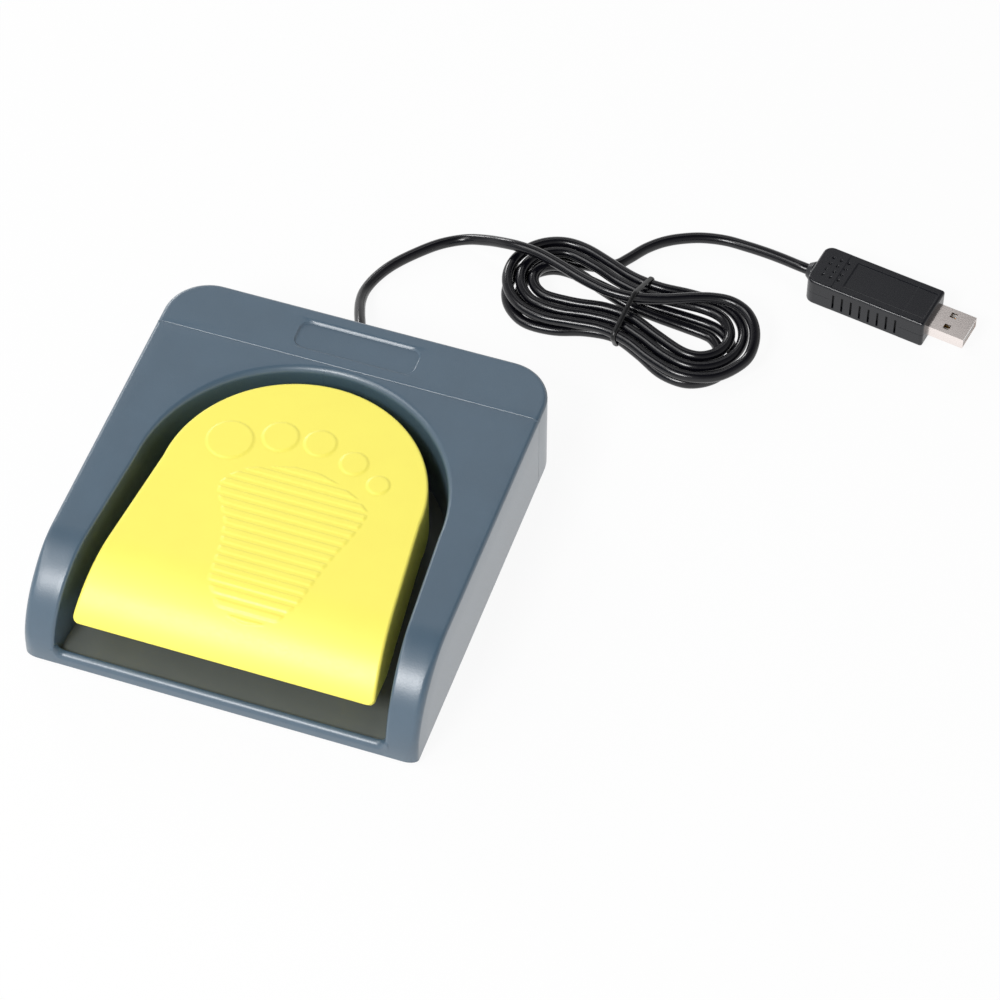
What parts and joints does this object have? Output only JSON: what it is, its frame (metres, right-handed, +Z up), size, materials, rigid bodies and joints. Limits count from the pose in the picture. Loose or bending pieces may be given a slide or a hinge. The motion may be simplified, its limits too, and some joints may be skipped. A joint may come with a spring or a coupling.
{
  "type": "usb foot pedal switch",
  "caption": "Foot pedal switch with a spring-return treadle in an arched low housing, on a thin cable tied in a hank that ends in a USB-A plug.",
  "frame": {"origin": "middle of the body's footprint on the floor, under the feet", "axes": "+Z up, +Y towards the cable side, +X to the right of the treadle seen from the front"},
  "size_m": [0.2656, 0.2568, 0.0358],
  "materials": {
    "shell_abs": "fine moulded texture",
    "base_abs": "moulded",
    "treadle_abs": "satin moulded",
    "zinc_steel": "zinc plated",
    "bright_steel": "ground",
    "spring_steel": "drawn wire",
    "rubber": "matt",
    "switch_plastic": "moulded",
    "brass": "stamped",
    "plunger_plastic": "moulded",
    "wire_pvc": "extruded",
    "cable_pvc": "extruded",
    "tie_plastic": "coated wire",
    "plug_abs": "fine moulded texture",
    "nickel_steel": "nickel plated",
    "tongue_plastic": "moulded",
    "gold_plate": "gold plated",
    "board_laminate": "solder mask",
    "chip_epoxy": "moulded",
    "ceramic_parts": "fired"
  },
  "bodies": {
    "base": {"upper_shell": "shell_abs", "rear_cover": "shell_abs", "bottom_plate": "base_abs", "housing_screws": "zinc_steel", "rubber_feet": "rubber", "pivot_pin": "bright_steel", "pivot_clips": "spring_steel", "return_springs": "spring_steel", "stop_pads": "rubber", "switch_body": "switch_plastic", "switch_terminals": "brass", "switch_screws": "zinc_steel", "inner_wires": "wire_pvc", "cable_inner": "cable_pvc", "cable_clamp": "base_abs", "clamp_screws": "zinc_steel", "cable_gland": "cable_pvc", "cable_lead": "cable_pvc", "cable_hank": "cable_pvc", "cable_tail": "cable_pvc", "cable_tie": "tie_plastic", "plug_collar": "plug_abs", "plug_upper_shell": "plug_abs", "plug_lower_shell": "plug_abs", "usb_shell": "nickel_steel", "usb_tongue": "tongue_plastic", "usb_contacts": "gold_plate", "plug_board": "board_laminate", "controller_chip": "chip_epoxy", "crystal_can": "nickel_steel", "board_parts": "ceramic_parts"},
    "treadle": {"treadle": "treadle_abs"},
    "switch_lever": {"switch_lever": "bright_steel"},
    "switch_plunger": {"switch_plunger": "plunger_plastic"}
  },
  "joints": [
    {"name": "treadle_hinge", "type": "hinge", "parent": "base", "child": "treadle", "pos_m": [0, -0.05, 0.013], "axis": [-1, 0, 0], "range_deg": [0, 4], "stiffness_Nm_per_rad": 6.5, "springref_deg": -4.58, "deforming": ["return_springs"]},
    {"name": "lever_hinge", "type": "hinge", "parent": "base", "child": "switch_lever", "pos_m": [0, -0.0127, 0.0197], "axis": [-1, 0, 0], "range_deg": [0, 12.6]},
    {"name": "plunger_slide", "type": "slide", "parent": "base", "child": "switch_plunger", "axis": [0, 0, -1], "range_m": [0, 0.0015]}
  ],
  "couplings": [
    {"joint": "lever_hinge", "follows": "treadle_hinge", "ratio": 3.1073},
    {"joint": "plunger_slide", "follows": "treadle_hinge", "m_per_rad": 0.020819}
  ]
}
